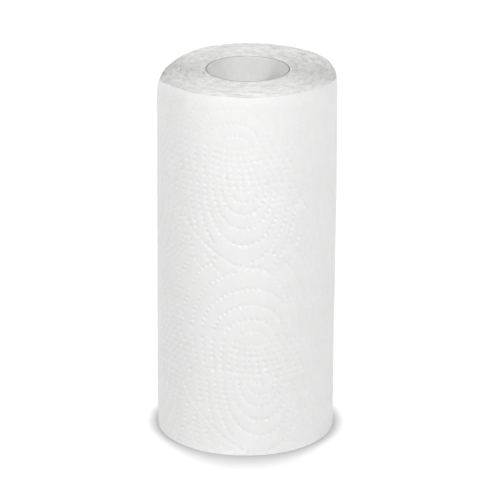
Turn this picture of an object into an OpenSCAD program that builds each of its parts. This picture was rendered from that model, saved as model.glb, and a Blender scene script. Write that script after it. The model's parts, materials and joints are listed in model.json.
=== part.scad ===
// Paper towel roll, standing on one of its cut ends.
// One long embossed web is wound in a true spiral on a cardboard core.
// The core's axis is Z, the table is at Z = 0 and the front of the roll faces -Y.

/* [Roll] */
// Width of the towel web, which is the height of the standing roll
web_w = 221; // [120:1:300]
// Diameter over the outermost turn, just past the tail
roll_d = 105; // [80:0.5:160]
// Thickness that one embossed turn takes up in the roll
turn_t = 0.7; // [0.5:0.05:1.5]
// Direction of the tail's edge, counted from +X towards +Y
tail_angle = 158; // [0:1:359]

/* [Cut ends] */
// Width of the open gap between two neighbouring turns
gap_w = 0.2; // [0.05:0.05:0.35]
// Depth to which that gap shows on the cut ends
gap_depth = 0.3; // [0.1:0.05:1]

/* [Perforated line] */
// Length of one sheet, from the tail's edge to the perforated line
sheet_l = 240; // [120:1:240]
// Length of one slit in the perforated line
slit_l = 3.6; // [1:0.1:10]
// Width of one slit in the perforated line
slit_w = 0.3; // [0.1:0.05:1]
// Uncut paper between one slit and the next
bond_l = 0.9; // [0.5:0.1:5]

/* [Core] */
// Outside diameter of the cardboard core
core_d = 49; // [30:0.5:60]
// Wall of the cardboard core
core_wall = 0.8; // [0.4:0.1:2]
// Room all round between the core and the first turn
core_clearance = 0.05; // [0.02:0.01:0.5]

/* [Hidden] */
$fn = 128;
paper_white = [0.95, 0.95, 0.94];
core_grey = [0.84, 0.83, 0.81];
// How far a cutter runs past the face that it cuts
overcut = 1;
roll_r = roll_d / 2;
core_bore_d = core_d - 2 * core_wall;
web_bore_r = core_d / 2 + core_clearance;
// The spiral is two half turns about two centres, this far either side of the core's axis
half_turn_offset = turn_t / 4;
// The second half turn starts where the first one ends, half a turn's thickness further in
second_half_r = roll_r - turn_t / 2;
// The two turns next to the core are stuck down and show no gap
stuck_turns = 2;
gaps = floor((roll_r - web_bore_r) / turn_t) - stuck_turns;
// The perforated line goes through the outermost turn
perforation_angle = sheet_l / roll_r * 180 / PI;
slit_floor_r = second_half_r - turn_t;
slit_pitch = slit_l + bond_l;
slits = floor((web_w - bond_l) / slit_pitch);
first_slit_z = (web_w - slits * slit_pitch + bond_l) / 2;

// Radius and depth below the cut end, from the roll's outside inwards
function cut_end(outer_r) = [
    for (turn = [0 : gaps - 1])
        let (turn_r = outer_r - turn * turn_t)
        each [
            [turn_r, 0],
            [turn_r - turn_t + gap_w, 0],
            [turn_r - turn_t + gap_w, gap_depth],
            [turn_r - turn_t, gap_depth]
        ],
    [outer_r - gaps * turn_t, 0],
    [web_bore_r - turn_t, 0]
];

function reversed(points) = [for (i = [len(points) - 1 : -1 : 0]) points[i]];

// Half section through the web, with every turn's edge showing on both cut ends
module web_section(outer_r) {
    edge = cut_end(outer_r);
    top = [for (point = edge) [point[0], web_w - point[1]]];
    polygon(concat(edge, reversed(top)));
}

module half_turn(outer_r) {
    rotate_extrude(angle = 180) web_section(outer_r);
}

// A continuous spiral, whose outer end leaves the tail's edge as a step on +X
module wound_web() {
    translate([half_turn_offset, 0, 0]) half_turn(roll_r);
    translate([-half_turn_offset, 0, 0]) rotate(180) half_turn(second_half_r);
}

// The row of slits where the outermost sheet tears off
module perforated_line() {
    for (i = [0 : slits - 1])
        translate([slit_floor_r, -slit_w / 2, first_slit_z + i * slit_pitch])
            cube([2 * turn_t + overcut, slit_w, slit_l]);
}

module towel_roll() {
    color(paper_white)
        difference() {
            rotate(tail_angle) wound_web();
            translate([0, 0, -overcut]) cylinder(r = web_bore_r, h = web_w + 2 * overcut);
            rotate(tail_angle + perforation_angle) perforated_line();
        }
}

// The cardboard tube that the web is wound on, cut flush with it
module core_tube() {
    color(core_grey)
        difference() {
            cylinder(d = core_d, h = web_w);
            translate([0, 0, -overcut]) cylinder(d = core_bore_d, h = web_w + 2 * overcut);
        }
}

towel_roll();
core_tube();
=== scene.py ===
"""A standing paper towel roll: embossed outer turn, cut ends with every turn, and cardboard core.

Lengths are in millimetres until a mesh is made, and in metres in the materials and on the stage.
The roll's axis is Z and its front faces -Y.
"""
import json
import math

import bmesh
import bpy
import numpy as np
from mathutils import Euler, Matrix, Vector
from mathutils.geometry import delaunay_2d_cdt


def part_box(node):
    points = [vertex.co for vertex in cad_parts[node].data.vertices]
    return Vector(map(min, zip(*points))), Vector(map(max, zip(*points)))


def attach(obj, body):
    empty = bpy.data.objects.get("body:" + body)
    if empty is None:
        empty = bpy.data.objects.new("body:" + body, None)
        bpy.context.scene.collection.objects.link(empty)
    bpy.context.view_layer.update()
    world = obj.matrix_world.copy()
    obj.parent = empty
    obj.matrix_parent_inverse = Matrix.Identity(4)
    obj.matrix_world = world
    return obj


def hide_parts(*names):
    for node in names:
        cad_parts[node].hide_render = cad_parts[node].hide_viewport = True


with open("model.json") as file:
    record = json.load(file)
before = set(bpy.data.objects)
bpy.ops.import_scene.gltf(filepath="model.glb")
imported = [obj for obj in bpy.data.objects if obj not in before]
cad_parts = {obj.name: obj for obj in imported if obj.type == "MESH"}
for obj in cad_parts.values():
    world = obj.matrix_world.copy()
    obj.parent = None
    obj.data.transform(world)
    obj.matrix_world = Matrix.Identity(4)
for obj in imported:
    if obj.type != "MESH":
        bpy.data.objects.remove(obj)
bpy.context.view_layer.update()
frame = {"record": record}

MM = 0.001
SHARP_ANGLE = math.radians(50)
SEED = 7
rng = np.random.default_rng(SEED)

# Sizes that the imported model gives
roll_low, roll_high = (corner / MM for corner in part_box("towel_roll"))
core_low, core_high = (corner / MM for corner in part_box("core_tube"))
mount_dims = {mount["name"]: mount["dims"] for mount in frame["record"]["mounts"]}
WEB_W = roll_high.z - roll_low.z
ROLL_R = (roll_high.x - roll_low.x) / 2
CORE_R = (core_high.x - core_low.x) / 2
CORE_BORE_R = mount_dims["core_bore"]["r_mm"]

# The wound web, whose tail and front lie at these angles from +X
TURN_T = 0.7
CORE_GAP = 0.05
TAIL_ANGLE = math.radians(158)
FRONT_ANGLE = math.radians(270)
WEB_BORE_R = CORE_R + CORE_GAP
OUTER_TURN_R = ROLL_R - TURN_T / 4
TURN_L = math.tau * OUTER_TURN_R
FRONT_S = (FRONT_ANGLE - TAIL_ANGLE) * OUTER_TURN_R

# The outer turn's paper and its edges
PAPER_T = 0.56
EDGE_ROUND = 0.12
EDGE_DROP = 0.05
RIM_DROP = 0.45
RIM_RAGGED = 0.4
RIM_ROWS = 2
RIM_TEETH = 130
RIM_WAVES = 34
TUCK_L = 4.0
BORDER_STEP = 1.0
BACK_PITCH_S = 5.0
BACK_PITCH_Z = 12.0
BACK_START_Z = 8.0
BACK_END_S = 2.0
BACK_END_Z = 4.0

# The torn tail: the height of its teeth, how it stands off, and its waves as share, length and start
TOOTH_PITCH = 4.5
TOOTH_H = 0.35
TOOTH_PROFILE = (0.0, 0.0, 0.1, 1.0, 0.8, 0.1)
LIFT_L = 14.0
LIFT_H = 0.5
LIFT_LEVEL = 0.8
LIFT_AT_ENDS = 0.4
LIFT_WAVES = ((0.2, 19.0, 0.0), (0.15, 7.3, 1.0))

# The perforated line between the outermost sheet and the next
SHEET_L = 240.0
SLIT_L = 3.6
SLIT_W = 0.4
SLIT_DEPTH = 0.4
SLIT_STEPS = 5
SLIT_END = 2.0
SLIT_MARGIN = 1.0
SLIT_CLEARANCE = 1.0

# The embossed motifs: bows hang from a lower focus, and the outer ones close as ovals over an upper focus
OVAL_PITCH_S = 82.0
OVAL_PITCH_Z = 119.0
OVAL_SHIFT_S = 11.0
OVAL_FRONT_S = -4.7
OVAL_FRONT_Z = 179.6
MOTIF_COLUMNS = range(-3, 5)
MOTIF_LEVELS = range(-2, 3)
NEIGHBOUR_REACH = 1.6 * OVAL_PITCH_S
LOWER_FOCUS = np.array((2.7, -12.65))
OVAL_RINGS = 12
OPEN_BOWS = 3
ARC_STEPS = 120
FEWEST_DOTS = 3
HALVINGS = 20
SMALLEST_REACH = 0.1

# Half widths and heights of bows and caps: a start, what each ring adds, and what the ring's square adds
BOW_W = (4.9, 4.0, 0.1)
BOW_H = (3.0, 5.9, 0.55)
CAP_LEFT_W = (2.5, 7.0)
CAP_RIGHT_W = (3.5, 5.2)
CAP_H = (-1.5, 5.7, 0.65)
CAP_CLEARANCE = 1.6
CAP_LEAD = 1.9
RUNGS = 7
RUNG_SAG = 1.8

# The S-shaped row that parts the motifs
DIVIDING_DROP = 49.0
DIVIDING_UNDER_W = 52.0
DIVIDING_UNDER_POWER = 1.5
DIVIDING_OVER_W = 24.0
DIVIDING_CLEARANCE = 3.2

# The dots, with rings of points around each: share of its radius, number of points, and share of its depth
DOT_PITCH = 3.4
DOT_R = 0.9
DOT_DEPTH = 0.285
DOT_UNEVEN = (0.8, 1.15)
DOT_TURN = 0.1
DOT_STRETCH = (0.92, 1.08)
DOT_RINGS = ((0.5, 6, 0.78), (1.0, 9, 0.12))
CROWDED_DEPTH = 0.52
DOT_FADE = 0.5
DOT_FADE_Z = (152.0, 206.0)
DOT_CLEARANCE = 2.1
DOT_MARGIN = 1.7
CELL_OVERLAP = 0.6

# The plain paper between the dots
GRID_PITCH = 2.6
GRID_ROW_SHARE = 0.866
GRID_START_S = 1.5
GRID_END_S = 1.2
GRID_END_Z = 1.0
GRID_JITTER = 0.3
GRID_CLEARANCE = 0.55
GRID_RELIEF = 0.05
BATCH = 500
ONLY_INSIDE = 1
MERGE_REACH = 1e-7

# The cut ends: each turn's edge as share of a turn inwards, height, and share of the unevenness
TURN_STEPS = 320
EDGE_PROFILE = ((0.0, -0.5, 0.4), (0.22, -0.08, 1.0), (0.5, 0.0, 1.0), (0.78, -0.1, 1.0))
RIPPLE = 0.07
RIPPLES = 110
STREAK_H = 0.4
STREAK_ROWS = 16
STREAKS = 36
FINE_STREAK_H = 0.2
FINE_STREAKS = 160
UNEVEN_DROP = 0.2
MOST_TURNS = 44
BORE_DROP = 0.15

# The side's slight waves, and its dents: direction in degrees, height, half width, half height and depth
BULGE_H = 0.22
BULGE_ROWS = 9
BULGES = 12
SIDE_DENTS = ((303.2, 154.5, 4.5, 4, 0.4), (294.3, 116.3, 3.5, 4, 0.45))

# The upper rim's shoulder, and its dents: direction, reach before and after it in degrees, and depth
SHOULDER_H = 3.0
SHOULDER_PULL = 0.3
RIM_SOFT = 7.0
RIM_EASE = 0.1
RIM_PULL = 0.2
RIM_DENTS = ((172, 36, 28, 6.2), (0, 24, 24, 2.8))
OUTMOST_SHARE = 1.1

# The core, with the seam of its inner ply
CORE_STEPS = 180
CORE_RIM = 0.12
CORE_RIM_STEPS = 4
CORE_INNER_ROWS = 200
CORE_OUTER_ROWS = 12
WALL_TOLERANCE = 0.01
SEAM_LEAD = 86.0
SEAM_STEP = 0.16
SEAM_W = 1.6

# The materials' darkest and lightest tones
PAPER_TONES = ((0.885, 0.885, 0.88), (0.94, 0.94, 0.935))
# The cut edges are the paper darkened with painted shade for the gaps between the turns
CUT_EDGE_PAINTED_SHADE_TONES = ((0.575, 0.575, 0.57), (0.77, 0.77, 0.765))
BOARD_TONES = ((0.8, 0.8, 0.795), (0.86, 0.86, 0.855))
BOARD_CUT_TONES = ((0.2, 0.197, 0.19), (0.3, 0.294, 0.285))
BOARD_CUT_FACING = (0.45, 0.75)

# The floor, and the soft painted shadow where the roll stands: ambient occlusion darkens the floor's seen
# colour and glow near the roll
FLOOR_HALF = 6.0
FLOOR_DROP = 0.0001
FLOOR_COLOUR = (0.72, 0.72, 0.72, 1)
FLOOR_SEEN = (0.15, 0.15, 0.15, 1)
FLOOR_GLOW = 0.97
SHADOW_REACH_FRONT = 0.032
SHADOW_REACH_SIDE = 0.009
SHADOW_NARROWING = 5
SHADOW_RANGE = (0.5, 1)
SHADOW_DEPTH = 0.43
SHADOW_SAMPLES = 16

# The light
WHITE = (1, 1, 1, 1)
BLACK = (0, 0, 0, 1)
SKY_LOW = 0.02
SKY_HIGH = 0.11
LAMP_AIM = Vector((0, 0, 0.16))
LAMP_REACH = 1.4
LAMPS = {
    "right_lamp": {"size": 0.14, "power": 10.2, "azimuth": 40, "elevation": 36},
    "left_lamp": {"size": 0.17, "power": 11.5, "azimuth": -47, "elevation": 57},
    "right_side_lamp": {"size": 0.6, "power": 1.6, "azimuth": 70, "elevation": 10},
    "left_side_lamp": {"size": 0.6, "power": 3.2, "azimuth": -70, "elevation": 10},
    "right_back_lamp": {"size": 0.6, "power": 8.0, "azimuth": 154, "elevation": 4},
    "left_back_lamp": {"size": 0.6, "power": 4.8, "azimuth": -156, "elevation": 4},
}

# The photograph's view
PHOTO_PX = 500
FOCAL_PX = 3396
SENSOR_MM = 36
CAMERA_REACH = 2.0
CAMERA_ELEVATION = math.radians(20.71)
CAMERA_ROLL = math.radians(0.36)
CAMERA_AIM = Vector((0.0020, 0, 0.1091))
CAMERA_END = 100


# The roll's unevenness

def smooth_step(share):
    """A share from 0 to 1 that starts and ends gently."""
    return share * share * (3 - 2 * share)


def lattice_noise(rows, columns):
    """Smooth noise from -1 to 1 on a seeded lattice, by row and by turns around its repeating columns."""
    values = rng.uniform(-1, 1, (rows + 2, columns))

    def sample(row_at, turn_at):
        row_at = np.clip(np.asarray(row_at, float), 0, rows)
        column_at = np.asarray(turn_at, float) * columns
        row = row_at.astype(int)
        column = np.floor(column_at).astype(int)
        row_mix = smooth_step(row_at - row)
        column_mix = smooth_step(column_at - column)
        left, right = column % columns, (column + 1) % columns
        near = values[row, left] * (1 - column_mix) + values[row, right] * column_mix
        far = values[row + 1, left] * (1 - column_mix) + values[row + 1, right] * column_mix
        return near * (1 - row_mix) + far * row_mix

    return sample


bulge_noise = lattice_noise(BULGE_ROWS, BULGES)
rim_noise = lattice_noise(RIM_ROWS, RIM_TEETH)
rim_wave = lattice_noise(RIM_ROWS, RIM_WAVES)
streak_noise = lattice_noise(STREAK_ROWS, STREAKS)
fine_noise = lattice_noise(MOST_TURNS, FINE_STREAKS)
ripple_noise = lattice_noise(MOST_TURNS, RIPPLES)


def degrees_away(angle, middle):
    """How far angles in radians lie from a direction in degrees, from -180 to 180 degrees."""
    return (np.degrees(angle) - middle + 180) % 360 - 180


def soften(points):
    """A slightly wavy side with soft dents, and an upper rim that is pushed in where it was held."""
    x, y, z = points.T
    radius = np.hypot(x, y)
    angle = np.arctan2(y, x) % math.tau
    outward = np.clip((radius - WEB_BORE_R) / (ROLL_R - WEB_BORE_R), 0, OUTMOST_SHARE)
    bulge = BULGE_H * bulge_noise(z / WEB_W * BULGE_ROWS, angle / math.tau) * outward**2
    for middle, level, half_w, half_h, depth in SIDE_DENTS:
        away = np.radians(degrees_away(angle, middle)) * ROLL_R
        bulge = bulge - depth * np.exp(-((away / half_w) ** 2) - ((z - level) / half_h) ** 2) * outward**4
    pressed = RIM_EASE
    for middle, before, after, depth in RIM_DENTS:
        away = degrees_away(angle, middle)
        pressed = pressed + depth * np.exp(-((away / np.where(away < 0, before, after)) ** 2))
    pressed = pressed * np.exp(-(((WEB_W - z) / RIM_SOFT) ** 2)) * outward**4
    shoulder = SHOULDER_PULL * np.exp(-(((WEB_W - z) / SHOULDER_H) ** 2)) * outward**8
    radius = radius + bulge - RIM_PULL * pressed - shoulder
    return np.column_stack((radius * np.cos(angle), radius * np.sin(angle), z - pressed))


def add_piece(name, points, faces, materials, node, cut_faces=()):
    """A closed mesh piece that stands for a CAD node; its cut faces have the second of its materials."""
    mesh = bpy.data.meshes.new(name)
    mesh.from_pydata((points * MM).tolist(), [], faces)
    form = bmesh.new()
    form.from_mesh(mesh)
    bmesh.ops.recalc_face_normals(form, faces=form.faces)
    form.to_mesh(mesh)
    form.free()
    for material in materials:
        mesh.materials.append(material)
    for i in cut_faces:
        mesh.polygons[i].material_index = 1
    mesh.shade_smooth()
    mesh.set_sharp_from_angle(angle=SHARP_ANGLE)
    piece = bpy.data.objects.new(name, mesh)
    bpy.context.scene.collection.objects.link(piece)
    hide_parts(node)
    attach(piece, "root")


# Embossing

def oval_arc(centre, reach, start, stop, power=1):
    """Part of an oval between two angles in degrees, from half its width and height; a power flattens it."""
    angle = np.radians(np.linspace(start, stop, ARC_STEPS))
    way = np.column_stack((np.cos(angle), np.sin(angle)))
    return np.asarray(centre) + np.asarray(reach) * np.sign(way) * np.abs(way) ** power


def grown(ring, sizes):
    """A size at a ring, from its start, what each ring adds, and what the ring's square adds."""
    return sum(size * ring**power for power, size in enumerate(sizes))


def bow_reach(ring):
    """Half the width of a bow at the lower focus, and how far it hangs below that focus."""
    return np.array((grown(ring, BOW_W), grown(ring, BOW_H)))


def cap_reach(ring):
    """How far an oval's cap runs to the left, to the right and above the upper focus."""
    cap = ring - OPEN_BOWS + 1
    return np.array((grown(cap, CAP_LEFT_W), grown(cap, CAP_RIGHT_W), grown(cap, CAP_H)))


def evenly_along(line, pitch):
    """Points at equal steps along a line, with its last point left to the next line."""
    run = np.concatenate(([0], np.cumsum(np.hypot(*np.diff(line, axis=0).T))))
    count = max(FEWEST_DOTS, round(run[-1] / pitch))
    at = np.arange(count) * run[-1] / count
    return np.column_stack([np.interp(at, run, line[:, axis]) for axis in (0, 1)])


def oval_level(offset):
    """Which ring of a motif goes through each point, counted from its smallest and with fractions."""
    across, up = offset.T
    focus_s, focus_z = LOWER_FOCUS
    raised = np.clip((up - focus_z) / (-2 * focus_z), 0, 1)
    aside = across - focus_s * (1 - 2 * raised)
    above = np.clip(up + focus_z, 0, None)
    below = np.clip(focus_z - up, 0, None)
    low, high = np.zeros(len(offset)), np.full(len(offset), 2.0 * OVAL_RINGS)
    for _ in range(HALVINGS):
        middle = (low + high) / 2
        bow_w, bow_h = bow_reach(middle)
        left_w, right_w, cap_h = np.maximum(cap_reach(middle + CAP_LEAD), SMALLEST_REACH)
        cap_w = np.where(aside < 0, left_w, right_w)
        width = cap_w + (bow_w - cap_w) * (1 - raised**2)
        size = (aside / width) ** 2 + (above / cap_h) ** 2 + (below / bow_h) ** 2
        low = np.where(size > 1, middle, low)
        high = np.where(size > 1, high, middle)
    return low


def dividing_row():
    """The row between motifs: down one's left side, under it, and over the right side of the one below."""
    upper_focus = np.array((OVAL_SHIFT_S, -OVAL_PITCH_Z)) - LOWER_FOCUS
    room = (LOWER_FOCUS - upper_focus)[1]
    under = oval_arc(LOWER_FOCUS, (DIVIDING_UNDER_W, DIVIDING_DROP), 180, 270, DIVIDING_UNDER_POWER)
    over = oval_arc(upper_focus, (DIVIDING_OVER_W, room - DIVIDING_DROP), 90, 0)
    return np.concatenate((under, over))


def oval_side(ring, way):
    """The dots down the left or right side of a ring, level with those of the other rings."""
    fall = (np.arange(RUNGS) + 0.5) / RUNGS
    inside = min(1, (ring + 1) / (OPEN_BOWS + 1))
    cap_w = cap_reach(max(ring, OPEN_BOWS))[0 if way < 0 else 1] * inside
    bow_w = bow_reach(ring)[0] if ring >= 0 else 0
    width = cap_w + (bow_w - cap_w) * (1 - (1 - fall) ** 2)
    drop = np.full(RUNGS, RUNG_SAG * (1 - inside**2))
    return LOWER_FOCUS * (2 * fall[:, None] - 1) + np.column_stack((way * width, -drop))


def motif_rows():
    """The dots of one motif by rows: a dividing row, a middle column, and bows, the outer ones with caps."""
    yield evenly_along(dividing_row(), DOT_PITCH)
    yield oval_side(-1, 1)
    for ring in range(OVAL_RINGS):
        bow = oval_arc(LOWER_FOCUS, bow_reach(ring), 180, 360)
        yield np.concatenate((evenly_along(bow, DOT_PITCH), oval_side(ring, -1), oval_side(ring, 1)))
        if ring >= OPEN_BOWS:
            left_w, right_w, cap_h = cap_reach(ring)
            start = math.degrees(math.asin(CAP_CLEARANCE / cap_h))
            right = oval_arc(-LOWER_FOCUS, (right_w, cap_h), start, 90)
            left = oval_arc(-LOWER_FOCUS, (left_w, cap_h), 90, 180 - start)
            yield evenly_along(np.concatenate((right, left)), DOT_PITCH)


def on_sheet(dots, length):
    """Which dots lie on the sheet, clear of its edges and of the perforated line."""
    inside = (dots > DOT_MARGIN).all(1)
    inside &= (dots[:, 0] < length - DOT_MARGIN) & (dots[:, 1] < WEB_W - DOT_MARGIN)
    return inside & (np.abs(dots[:, 0] - SHEET_L) > DOT_MARGIN)


def in_own_cell(dots, middle, middles):
    """Which dots belong to their own motif rather than to one beside it, by the rings they lie on."""
    beside = [other for other in middles
              if other is not middle and abs(other - middle)[0] < NEIGHBOUR_REACH]
    others = np.min([oval_level(dots - other) for other in beside], axis=0)
    return oval_level(dots - middle) < others + CELL_OVERLAP


def embossed_dots(length):
    """Centres of all the dots on the outer turn, thinned where rows come too close."""
    middles = [np.array((FRONT_S + OVAL_FRONT_S + column * OVAL_PITCH_S - level * OVAL_SHIFT_S,
                         OVAL_FRONT_Z + level * OVAL_PITCH_Z))
               for column in MOTIF_COLUMNS for level in MOTIF_LEVELS]
    kept = []
    cells = {}
    reach = math.ceil(DIVIDING_CLEARANCE / DOT_CLEARANCE)
    around = range(-reach, reach + 1)
    for row, spots in enumerate(motif_rows()):
        dividing = row == 0
        own_room = DIVIDING_CLEARANCE if dividing else DOT_CLEARANCE
        for middle in middles:
            dots = middle + spots
            dots = dots[on_sheet(dots, length)]
            if len(dots) and not dividing:
                dots = dots[in_own_cell(dots, middle, middles)]
            for dot in dots:
                cell_s, cell_z = (dot // DOT_CLEARANCE).astype(int)
                near = [pair for i in around for j in around
                        for pair in cells.get((cell_s + i, cell_z + j), ())]
                if all(math.dist(dot, other) > (DOT_CLEARANCE if dividing else room) for other, room in near):
                    cells.setdefault((cell_s, cell_z), []).append((dot, own_room))
                    kept.append(dot)
    return np.array(kept)


# The outer turn

def on_web(along, up, off):
    """Points on the wound web: arc length past the tail, height up the web, and height off its face."""
    turned = along / OUTER_TURN_R
    radius = ROLL_R + TURN_T / 4 - TURN_T * turned / math.tau + off
    angle = TAIL_ANGLE + turned
    return np.column_stack((radius * np.cos(angle), radius * np.sin(angle), up))


def tail_lift(along, up):
    """How far the loose tail stands off the roll, with a slack wave along its edge."""
    free = np.clip(1 - along / LIFT_L, 0, 1)
    slack = LIFT_AT_ENDS + (1 - LIFT_AT_ENDS) * np.sin(math.pi * np.clip(up / WEB_W, 0, 1))
    wave = LIFT_LEVEL + sum(share * np.sin(up / length + start) for share, length, start in LIFT_WAVES)
    return LIFT_H * free**2 * slack * wave


def placed(flat, off):
    """Points of the flat sheet on the roll, at a height off the web's face."""
    along, up = flat.T
    return soften(on_web(along, up, off + tail_lift(along, up)))


def sheet_border(length):
    """The outer turn's outline, with the tail's torn teeth, as points and outward directions."""
    low, high = EDGE_ROUND, WEB_W - EDGE_ROUND - RIM_DROP
    first, last = EDGE_ROUND, length - EDGE_ROUND
    points_per_tooth = len(TOOTH_PROFILE)
    run = np.linspace(first, last, round(length / BORDER_STEP))
    rise = np.linspace(low, high, round(WEB_W / TOOTH_PITCH) * points_per_tooth + 1)
    tooth = np.tile(TOOTH_PROFILE, len(rise) // points_per_tooth + 1)[: len(rise)]
    tooth[[0, -1]] = 0
    teeth = first + TOOTH_H * (1 - tooth)
    bottom = np.column_stack((run, np.full_like(run, low)))
    end = np.column_stack((np.full_like(rise, last), rise))
    top = np.column_stack((run, np.full_like(run, high)))
    tail = np.column_stack((teeth, rise))
    bottom[0, 0] = teeth[0]
    sides = (
        (bottom[:-1], (0, -1)),
        (end[:-1], (1, 0)),
        (top[::-1][:-1], (0, 1)),
        (tail[::-1][:-1], (-1, 0)),
    )
    points = np.concatenate([side for side, _ in sides])
    outward = np.concatenate([np.tile(np.array(way, float), (len(side), 1)) for side, way in sides])
    return points, outward


def triangulate(border, inner):
    """Triangles over a bordered area and the points in it, as indices into border followed by inner."""
    points = np.concatenate((border, inner))
    count = len(border)
    edges = [(i, (i + 1) % count) for i in range(count)]
    corners = [Vector(point) for point in points]
    _, _, faces, origins, _, _ = delaunay_2d_cdt(corners, edges, [], ONLY_INSIDE, MERGE_REACH)
    source = [origin[0] for origin in origins]
    if len(source) != len(points):
        raise ValueError("the outline crosses itself or a point was doubled")
    return [tuple(source[i] for i in face) for face in faces]


def near_gaps(points, others, rank=0):
    """Distance from each point to the nearest of the others, or to a later one by rank, in batches."""
    gaps = []
    for start in range(0, len(points), BATCH):
        away = points[start:start + BATCH, None] - others[None]
        gaps.append(np.partition(np.hypot(away[..., 0], away[..., 1]), rank, axis=1)[:, rank])
    return np.concatenate(gaps)


def dot_points(dots):
    """Each dot's centre and the rings around it, with their heights off the paper's face."""
    crowding = np.interp(near_gaps(dots, dots, rank=1), (DOT_CLEARANCE, DOT_PITCH), (CROWDED_DEPTH, 1))
    fade = 1 - DOT_FADE * np.interp(dots[:, 1], DOT_FADE_Z, (0, 1))
    bottom = -DOT_DEPTH * crowding * fade * rng.uniform(*DOT_UNEVEN, len(dots))
    points, heights = [dots], [bottom]
    for share, count, depth_share in DOT_RINGS:
        for k in range(count):
            angle = math.tau * (k + rng.uniform(0, 1, len(dots)) * DOT_TURN) / count
            reach = DOT_R * share * rng.uniform(*DOT_STRETCH, len(dots))
            points.append(dots + np.column_stack((reach * np.cos(angle), reach * np.sin(angle))))
            heights.append(bottom * depth_share)
    return points, heights


def slit_points():
    """The perforated line's slits: points along both edges and the bottom of each, with their heights."""
    middles = np.arange(TOOTH_PITCH / 2, WEB_W - SLIT_END, TOOTH_PITCH)
    points, heights = [], []
    for aside, depth in ((-SLIT_W / 2, 0), (SLIT_W / 2, 0), (0, SLIT_DEPTH)):
        for share in np.linspace(-0.5, 0.5, SLIT_STEPS):
            up = middles + share * SLIT_L
            up = up[(up > SLIT_MARGIN) & (up < WEB_W - SLIT_MARGIN)]
            points.append(np.column_stack((np.full_like(up, SHEET_L + aside), up)))
            heights.append(np.full_like(up, -depth if abs(share) < 0.5 else 0))
    return points, heights


def paper_grid(length, dots):
    """Uneven points between the dots, in staggered rows, with their heights."""
    rows = []
    for i, up in enumerate(np.arange(GRID_PITCH, WEB_W - GRID_END_Z, GRID_PITCH * GRID_ROW_SHARE)):
        along = np.arange(GRID_START_S + GRID_PITCH / 2 * (i % 2), length - GRID_END_S, GRID_PITCH)
        rows.append(np.column_stack((along, np.full_like(along, up))))
    grid = np.concatenate(rows)
    grid = grid + rng.uniform(-GRID_JITTER, GRID_JITTER, grid.shape)
    clear = np.abs(grid[:, 0] - SHEET_L) > SLIT_CLEARANCE
    clear &= near_gaps(grid, dots) > DOT_R + GRID_CLEARANCE
    grid = grid[clear]
    return grid, GRID_RELIEF * rng.uniform(-1, 1, len(grid))


def ragged_rim(border, outward):
    """The outline with its upper edge a little uneven."""
    turned = border[:, 0] / TURN_L
    upper = (border[:, 1] > WEB_W / 2) & (outward[:, 1] > 0)
    rim = border.copy()
    rim[upper, 1] += (RIM_RAGGED * (rim_noise(0, turned) + rim_wave(0, turned)) / 2)[upper]
    return rim


def outer_turn(materials):
    """The outermost turn of paper, with its dots, its torn tail and its perforated line."""
    length = TURN_L + TUCK_L
    border, outward = sheet_border(length)
    dots = embossed_dots(length)
    dot_spots, dot_heights = dot_points(dots)
    slit_spots, slit_heights = slit_points()
    grid, grid_heights = paper_grid(length, dots)
    inner = np.concatenate((*dot_spots, *slit_spots, grid))
    heights = np.concatenate((*dot_heights, *slit_heights, grid_heights))
    back = np.array([(along, up)
                     for along in np.arange(BACK_PITCH_S, length - BACK_END_S, BACK_PITCH_S)
                     for up in np.arange(BACK_START_Z, WEB_W - BACK_END_Z, BACK_PITCH_Z)])
    rim = ragged_rim(border, outward)
    blocks = (
        placed(rim, -EDGE_DROP),
        placed(inner, heights),
        placed(rim + outward * EDGE_ROUND, -PAPER_T / 2),
        placed(rim, -PAPER_T),
        placed(back, -PAPER_T),
    )
    count = len(border)
    side_start = count + len(inner)
    back_start = side_start + count
    faces = triangulate(border, inner)
    faces += [tuple(back_start + i for i in reversed(face)) for face in triangulate(border, back)]
    cut_start = len(faces)
    for i in range(count):
        j = (i + 1) % count
        faces.append((i, side_start + i, side_start + j, j))
        faces.append((side_start + i, back_start + i, back_start + j, side_start + j))
    cut = range(cut_start, len(faces))
    add_piece("outer_turn", np.concatenate(blocks), faces, materials, "towel_roll", cut)


# The wound turns

def wound_end(height, way):
    """One cut end of the turns under the outermost one, from the outside inwards along the spiral."""
    turns = int((ROLL_R - TURN_T - WEB_BORE_R) / TURN_T) - 1
    along = np.arange(turns * TURN_STEPS + 1) / TURN_STEPS
    angle = TAIL_ANGLE + along * math.tau
    middle = ROLL_R + TURN_T / 4 - TURN_T * (1 + along)
    around = (angle / math.tau) % 1
    ripple = RIPPLE * ripple_noise(along, around)
    uneven = STREAK_H * streak_noise(along / turns * STREAK_ROWS, around)
    uneven = uneven + FINE_STREAK_H * fine_noise(along, around)
    lines = []
    for inward, rise, share in EDGE_PROFILE:
        radius = middle - TURN_T * inward + ripple
        up = height + way * np.minimum(rise + (uneven - UNEVEN_DROP) * share, 0)
        lines.append(np.column_stack((radius * np.cos(angle), radius * np.sin(angle), up)))
    return np.stack(lines, axis=1)


def end_faces(start, steps, width):
    """One cut end's faces, and the loops of points where its outer wall and its bore begin."""
    def at(i, j):
        return start + i * width + j

    faces = []
    for i in range(steps - 1):
        faces += [(at(i, j), at(i + 1, j), at(i + 1, j + 1), at(i, j + 1)) for j in range(width - 1)]
        after = i + TURN_STEPS
        if after + 1 < steps:
            faces.append((at(i, width - 1), at(i + 1, width - 1), at(after + 1, 0), at(after, 0)))
    last = steps - 1
    inmost = last - TURN_STEPS
    bore = [at(steps, i) for i in range(TURN_STEPS)]
    for i in range(TURN_STEPS):
        near, far = at(inmost + i, width - 1), at(inmost + i + 1, width - 1)
        faces.append((near, far, bore[(i + 1) % TURN_STEPS], bore[i]))
    faces.append((*(at(last, j) for j in range(width)), at(inmost, width - 1)))
    outer = [at(i, 0) for i in range(TURN_STEPS + 1)] + [at(0, j) for j in range(width - 1, 0, -1)]
    return faces, (outer, bore)


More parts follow.
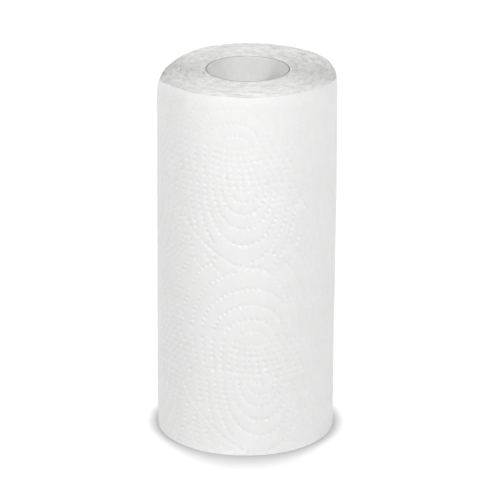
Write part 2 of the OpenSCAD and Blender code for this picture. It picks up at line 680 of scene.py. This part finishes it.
def wound_turns(materials):
    """All the turns under the outermost one, closed by the bore and by a plain outer wall."""
    points, faces, loops = [], [], []
    start = 0
    angle = TAIL_ANGLE + math.tau * np.arange(TURN_STEPS) / TURN_STEPS
    for height, way in ((WEB_W, 1), (0.0, -1)):
        end = wound_end(height, way)
        steps, width = end.shape[:2]
        bore_z = np.full(TURN_STEPS, height - way * BORE_DROP)
        bore = np.column_stack((WEB_BORE_R * np.cos(angle), WEB_BORE_R * np.sin(angle), bore_z))
        made, rims = end_faces(start, steps, width)
        faces += made
        loops.append(rims)
        points += [end.reshape(-1, 3), bore]
        start += steps * width + TURN_STEPS
    for upper, lower in zip(*loops):
        for i in range(len(upper)):
            j = (i + 1) % len(upper)
            faces.append((upper[i], lower[i], lower[j], upper[j]))
    points = soften(np.concatenate(points))
    add_piece("wound_turns", points, faces, materials, "towel_roll")


# The core

def core_profile():
    """The core's closed outline as radius and height: outer wall, upper rim, inner wall and lower rim."""
    outer, inner = CORE_R - CORE_RIM, CORE_BORE_R + CORE_RIM
    low, high = CORE_RIM, WEB_W - CORE_RIM
    arc = [(CORE_RIM * math.cos(a), CORE_RIM * math.sin(a))
           for a in np.radians(np.linspace(0, 90, CORE_RIM_STEPS))]
    profile = [(CORE_R, z) for z in np.linspace(low, high, CORE_OUTER_ROWS)]
    profile += [(outer + c, high + s) for c, s in arc[1:]]
    profile += [(inner - s, high + c) for c, s in arc[:-1]]
    profile += [(CORE_BORE_R, z) for z in np.linspace(low, high, CORE_INNER_ROWS)[::-1]]
    profile += [(inner - c, low - s) for c, s in arc[1:]]
    profile += [(outer + s, low - c) for c, s in arc[:-1]]
    return np.array(profile)


def core_tube(materials):
    """The cardboard core, with rounded cut rims and the spiral seam of its inner ply."""
    profile = core_profile()
    rows = len(profile)
    radius, up = np.repeat(profile, CORE_STEPS, axis=0).T
    turned = np.tile(math.tau * np.arange(CORE_STEPS) / CORE_STEPS, rows)
    past_seam = (up / SEAM_LEAD - turned / math.tau) % 1 * SEAM_LEAD
    groove = SEAM_STEP * np.exp(-((np.minimum(past_seam, SEAM_LEAD - past_seam) / SEAM_W) ** 2))
    radius = radius + np.where(radius < CORE_BORE_R + WALL_TOLERANCE, groove, 0)
    points = np.column_stack((radius * np.cos(turned), radius * np.sin(turned), up))
    faces = []
    for row in range(rows):
        here, there = row * CORE_STEPS, (row + 1) % rows * CORE_STEPS
        for i in range(CORE_STEPS):
            j = (i + 1) % CORE_STEPS
            faces.append((here + i, here + j, there + j, there + i))
    add_piece("core_tube_board", points, faces, materials, "core_tube")


# Shader nodes

def feed(tree, socket, value):
    """Link a socket to an output, or set it to a plain value."""
    if isinstance(value, bpy.types.NodeSocket):
        tree.links.new(value, socket)
    else:
        socket.default_value = value


def math_node(tree, operation, *values):
    """One step of arithmetic on one or two values."""
    node = tree.nodes.new("ShaderNodeMath")
    node.operation = operation
    for socket, value in zip(node.inputs, values):
        feed(tree, socket, value)
    return node.outputs["Value"]


def ranged(tree, value, old, new):
    """A value taken from one range to another and held at its ends."""
    node = tree.nodes.new("ShaderNodeMapRange")
    for name, limit in zip(("From Min", "From Max", "To Min", "To Max"), (*old, *new)):
        node.inputs[name].default_value = limit
    tree.links.new(value, node.inputs["Value"])
    return node.outputs["Result"]


def mixed(tree, first, second, share):
    """A plain weighted sum of two values."""
    mix = tree.nodes.new("ShaderNodeMix")
    mix.data_type = "FLOAT"
    mix.inputs["Factor"].default_value = share
    tree.links.new(first, mix.inputs["A"])
    tree.links.new(second, mix.inputs["B"])
    return mix.outputs["Result"]


def mixed_colour(tree, share, first, second):
    """A mix of two colours by a share that other nodes give."""
    mix = tree.nodes.new("ShaderNodeMix")
    mix.data_type = "RGBA"
    tree.links.new(share, mix.inputs["Factor"])
    feed(tree, mix.inputs["A"], first)
    feed(tree, mix.inputs["B"], second)
    return mix.outputs["Result"]


def colour_ramp(tree, value, tones, places=(0.3, 0.7)):
    """A ramp from a dark to a light tone between two places."""
    ramp = tree.nodes.new("ShaderNodeValToRGB")
    for element, tone, place in zip(ramp.color_ramp.elements, tones, places):
        element.position = place
        element.color = (*tone, 1)
    tree.links.new(value, ramp.inputs["Fac"])
    return ramp.outputs["Color"]


def noise_node(tree, place, scale, detail, stretch=(1, 1, 1)):
    """Noise from 0 to 1 at a scale in 1/m, drawn out along an axis where stretch is under 1."""
    mapping = tree.nodes.new("ShaderNodeMapping")
    mapping.inputs["Scale"].default_value = stretch
    noise = tree.nodes.new("ShaderNodeTexNoise")
    noise.inputs["Scale"].default_value = scale
    noise.inputs["Detail"].default_value = detail
    tree.links.new(place, mapping.inputs["Vector"])
    tree.links.new(mapping.outputs["Vector"], noise.inputs["Vector"])
    return noise.outputs["Fac"]


def bump_node(tree, height, strength, distance):
    """Fine relief whose full height is a distance in metres."""
    bump = tree.nodes.new("ShaderNodeBump")
    bump.inputs["Strength"].default_value = strength
    bump.inputs["Distance"].default_value = distance
    tree.links.new(height, bump.inputs["Height"])
    return bump.outputs["Normal"]


def flat_and_around(tree, place):
    """A place with its height left out, and the direction from the axis to it."""
    flat = tree.nodes.new("ShaderNodeVectorMath")
    flat.operation = "MULTIPLY"
    flat.inputs[1].default_value = (1, 1, 0)
    tree.links.new(place, flat.inputs[0])
    around = tree.nodes.new("ShaderNodeVectorMath")
    around.operation = "NORMALIZE"
    tree.links.new(flat.outputs["Vector"], around.inputs[0])
    return flat.outputs["Vector"], around.outputs["Vector"]


def polar_place(tree, place, spread):
    """Distance from the axis, and a shortened way around it in metres per radian, as coordinates."""
    flat, around = flat_and_around(tree, place)
    length = tree.nodes.new("ShaderNodeVectorMath")
    length.operation = "LENGTH"
    tree.links.new(flat, length.inputs[0])
    spin = tree.nodes.new("ShaderNodeVectorMath")
    spin.operation = "SCALE"
    spin.inputs["Scale"].default_value = spread
    tree.links.new(around, spin.inputs[0])
    parts = tree.nodes.new("ShaderNodeSeparateXYZ")
    tree.links.new(spin.outputs["Vector"], parts.inputs["Vector"])
    polar = tree.nodes.new("ShaderNodeCombineXYZ")
    tree.links.new(parts.outputs["X"], polar.inputs["X"])
    tree.links.new(parts.outputs["Y"], polar.inputs["Y"])
    tree.links.new(length.outputs["Value"], polar.inputs["Z"])
    return polar.outputs["Vector"]


def seen_rays(tree):
    """One for what the camera sees, straight, in gloss or through glass, and zero for light on the part."""
    path = tree.nodes.new("ShaderNodeLightPath")
    seen = math_node(tree, "MAXIMUM", path.outputs["Is Camera Ray"], path.outputs["Is Glossy Ray"])
    return math_node(tree, "MAXIMUM", seen, path.outputs["Is Transmission Ray"])


# Materials

def new_material(name):
    """A material with its node tree, its main shader and its object coordinates."""
    material = bpy.data.materials.new(name)
    material.use_nodes = True
    tree = material.node_tree
    place = tree.nodes.new("ShaderNodeTexCoord").outputs["Object"]
    return material, tree, tree.nodes["Principled BSDF"], place


def paper_material():
    """Matt white tissue: crepe lines along the axis, fine wrinkles, loose fibre and faint cloudiness."""
    material, tree, shader, place = new_material("towel_paper")
    crepe = noise_node(tree, place, scale=1500, detail=3, stretch=(1, 1, 0.1))
    fibre = noise_node(tree, place, scale=900, detail=4)
    cloud = noise_node(tree, place, scale=70, detail=2)
    wrinkle = noise_node(tree, place, scale=480, detail=2, stretch=(1, 1, 0.5))
    tone = mixed(tree, mixed(tree, fibre, cloud, share=0.3), wrinkle, share=0.3)
    relief = mixed(tree, mixed(tree, crepe, fibre, share=0.35), wrinkle, share=0.4)
    tree.links.new(colour_ramp(tree, tone, PAPER_TONES), shader.inputs["Base Color"])
    tree.links.new(bump_node(tree, relief, strength=0.5, distance=0.00028), shader.inputs["Normal"])
    shader.inputs["Roughness"].default_value = 0.95
    shader.inputs["Specular IOR Level"].default_value = 0.15
    return material


def cut_edge_material():
    """The cut edges of the turns: white paper darkened with painted shade for the gaps between the turns,
    with circumferential streaks of light and shade.
    """
    material, tree, shader, place = new_material("towel_cut_edges")
    streak = noise_node(tree, polar_place(tree, place, spread=0.0045), scale=1300, detail=3)
    patch = noise_node(tree, polar_place(tree, place, spread=0.018), scale=420, detail=3)
    fibre = noise_node(tree, place, scale=1100, detail=4)
    tone = mixed(tree, mixed(tree, streak, patch, share=0.6), fibre, share=0.25)
    # Painted shade: these tones are darker than the paper's to stand in for the shade in the gaps between the
    # turns
    colour = colour_ramp(tree, tone, CUT_EDGE_PAINTED_SHADE_TONES, places=(0.38, 0.6))
    tree.links.new(colour, shader.inputs["Base Color"])
    tree.links.new(bump_node(tree, tone, strength=0.6, distance=0.0002), shader.inputs["Normal"])
    shader.inputs["Roughness"].default_value = 0.97
    shader.inputs["Specular IOR Level"].default_value = 0.1
    return material


def board_material():
    """Grey-white core board, with its cut rims a darker grey."""
    material, tree, shader, place = new_material("core_board")
    fibre = noise_node(tree, place, scale=700, detail=4, stretch=(1, 1, 0.5))
    cloud = noise_node(tree, place, scale=90, detail=3)
    tone = mixed(tree, fibre, cloud, share=0.4)
    wall = colour_ramp(tree, tone, BOARD_TONES)
    cut = colour_ramp(tree, tone, BOARD_CUT_TONES)
    facing = tree.nodes.new("ShaderNodeSeparateXYZ")
    tree.links.new(tree.nodes.new("ShaderNodeNewGeometry").outputs["Normal"], facing.inputs["Vector"])
    is_cut = ranged(tree, math_node(tree, "ABSOLUTE", facing.outputs["Z"]), BOARD_CUT_FACING, (0, 1))
    tree.links.new(mixed_colour(tree, is_cut, wall, cut), shader.inputs["Base Color"])
    tree.links.new(bump_node(tree, tone, strength=0.3, distance=0.0002), shader.inputs["Normal"])
    shader.inputs["Roughness"].default_value = 0.85
    shader.inputs["Specular IOR Level"].default_value = 0.25
    return material


# Stage, light and camera

def floor_painted_shade(tree):
    """How light the floor is seen, up to 1, with a painted shadow around the roll from ambient occlusion that
    reaches furthest at the front.
    """
    place = tree.nodes.new("ShaderNodeTexCoord").outputs["Object"]
    way = tree.nodes.new("ShaderNodeSeparateXYZ")
    tree.links.new(flat_and_around(tree, place)[1], way.inputs["Vector"])
    frontal = ranged(tree, way.outputs["Y"], (0, -1), (0, 1))
    narrowed = math_node(tree, "POWER", frontal, SHADOW_NARROWING)
    reach = ranged(tree, narrowed, (0, 1), (SHADOW_REACH_SIDE, SHADOW_REACH_FRONT))
    near = tree.nodes.new("ShaderNodeAmbientOcclusion")
    near.samples = SHADOW_SAMPLES
    near.inputs["Color"].default_value = WHITE
    tree.links.new(reach, near.inputs["Distance"])
    return ranged(tree, near.outputs["AO"], SHADOW_RANGE, (SHADOW_DEPTH, 1))


def floor_material():
    """A pale matt floor that is seen lighter than it lights the roll, with the roll's real shadow faint in
    its seen colour and a painted shadow near the roll in its seen colour and glow.
    """
    material = bpy.data.materials.new("floor")
    material.use_nodes = True
    tree = material.node_tree
    tree.nodes.clear()
    shade = floor_painted_shade(tree)
    seen = seen_rays(tree)
    # Painted shadow: the seen colour and the glow darken near the roll by ambient occlusion, not by the lamps
    shaded = mixed_colour(tree, shade, BLACK, FLOOR_SEEN)
    plain = tree.nodes.new("ShaderNodeBsdfDiffuse")
    tree.links.new(mixed_colour(tree, seen, FLOOR_COLOUR, shaded), plain.inputs["Color"])
    glow = tree.nodes.new("ShaderNodeEmission")
    level = math_node(tree, "MULTIPLY", shade, FLOOR_GLOW)
    tree.links.new(math_node(tree, "MULTIPLY", seen, level), glow.inputs["Strength"])
    both = tree.nodes.new("ShaderNodeAddShader")
    tree.links.new(plain.outputs["BSDF"], both.inputs[0])
    tree.links.new(glow.outputs["Emission"], both.inputs[1])
    tree.links.new(both.outputs["Shader"], tree.nodes.new("ShaderNodeOutputMaterial").inputs["Surface"])
    return material


def add_floor():
    """The floor that the roll stands on."""
    mesh = bpy.data.meshes.new("floor")
    signs = ((-1, -1), (1, -1), (1, 1), (-1, 1))
    corners = [(x * FLOOR_HALF, y * FLOOR_HALF, -FLOOR_DROP) for x, y in signs]
    mesh.from_pydata(corners, [], [(0, 1, 2, 3)])
    mesh.materials.append(floor_material())
    floor = bpy.data.objects.new("floor", mesh)
    bpy.context.scene.collection.objects.link(floor)


def add_world():
    """White studio light all round, graded from the horizon to overhead, with a plain white background."""
    world = bpy.data.worlds.new("studio")
    world.use_nodes = True
    tree = world.node_tree
    tree.nodes.clear()
    way = tree.nodes.new("ShaderNodeSeparateXYZ")
    tree.links.new(tree.nodes.new("ShaderNodeTexCoord").outputs["Generated"], way.inputs["Vector"])
    light = tree.nodes.new("ShaderNodeBackground")
    light.inputs["Color"].default_value = WHITE
    tree.links.new(ranged(tree, way.outputs["Z"], (0, 1), (SKY_LOW, SKY_HIGH)), light.inputs["Strength"])
    white = tree.nodes.new("ShaderNodeBackground")
    white.inputs["Color"].default_value = WHITE
    white.inputs["Strength"].default_value = 1
    choose = tree.nodes.new("ShaderNodeMixShader")
    tree.links.new(seen_rays(tree), choose.inputs["Fac"])
    tree.links.new(light.outputs["Background"], choose.inputs[1])
    tree.links.new(white.outputs["Background"], choose.inputs[2])
    tree.links.new(choose.outputs["Shader"], tree.nodes.new("ShaderNodeOutputWorld").inputs["Surface"])
    bpy.context.scene.world = world


def add_lamp(name, size, power, azimuth, elevation):
    """A square soft lamp that faces the roll, at an azimuth counted from the front to the right."""
    lamp = bpy.data.lights.new(name, "AREA")
    lamp.shape = "SQUARE"
    lamp.size = size
    lamp.energy = power
    turned, raised = math.radians(azimuth), math.radians(elevation)
    level = math.cos(raised)
    way = Vector((math.sin(turned) * level, -math.cos(turned) * level, math.sin(raised)))
    holder = bpy.data.objects.new(name, lamp)
    holder.location = LAMP_AIM + way * LAMP_REACH
    holder.rotation_euler = (-way).to_track_quat("-Z", "Y").to_euler()
    bpy.context.scene.collection.objects.link(holder)


def add_camera():
    """The photograph's view: a long lens a little above the roll, tilted by a third of a degree."""
    lens = bpy.data.cameras.new("camera")
    lens.sensor_width = SENSOR_MM
    lens.lens = FOCAL_PX * SENSOR_MM / PHOTO_PX
    lens.clip_end = CAMERA_END
    camera = bpy.data.objects.new("camera", lens)
    back = Vector((0, -math.cos(CAMERA_ELEVATION), math.sin(CAMERA_ELEVATION)))
    tilt = Euler((math.pi / 2 - CAMERA_ELEVATION, 0, 0)).to_matrix()
    camera.location = CAMERA_AIM + back * CAMERA_REACH
    camera.rotation_euler = (tilt @ Matrix.Rotation(CAMERA_ROLL, 3, "Z")).to_euler()
    bpy.context.scene.collection.objects.link(camera)
    bpy.context.scene.camera = camera


bpy.context.scene.view_settings.view_transform = "Standard"
add_camera()
add_world()
for lamp_name, lamp_values in LAMPS.items():
    add_lamp(lamp_name, **lamp_values)
add_floor()
cut_edges = cut_edge_material()
outer_turn((paper_material(), cut_edges))
wound_turns((cut_edges,))
core_tube((board_material(),))
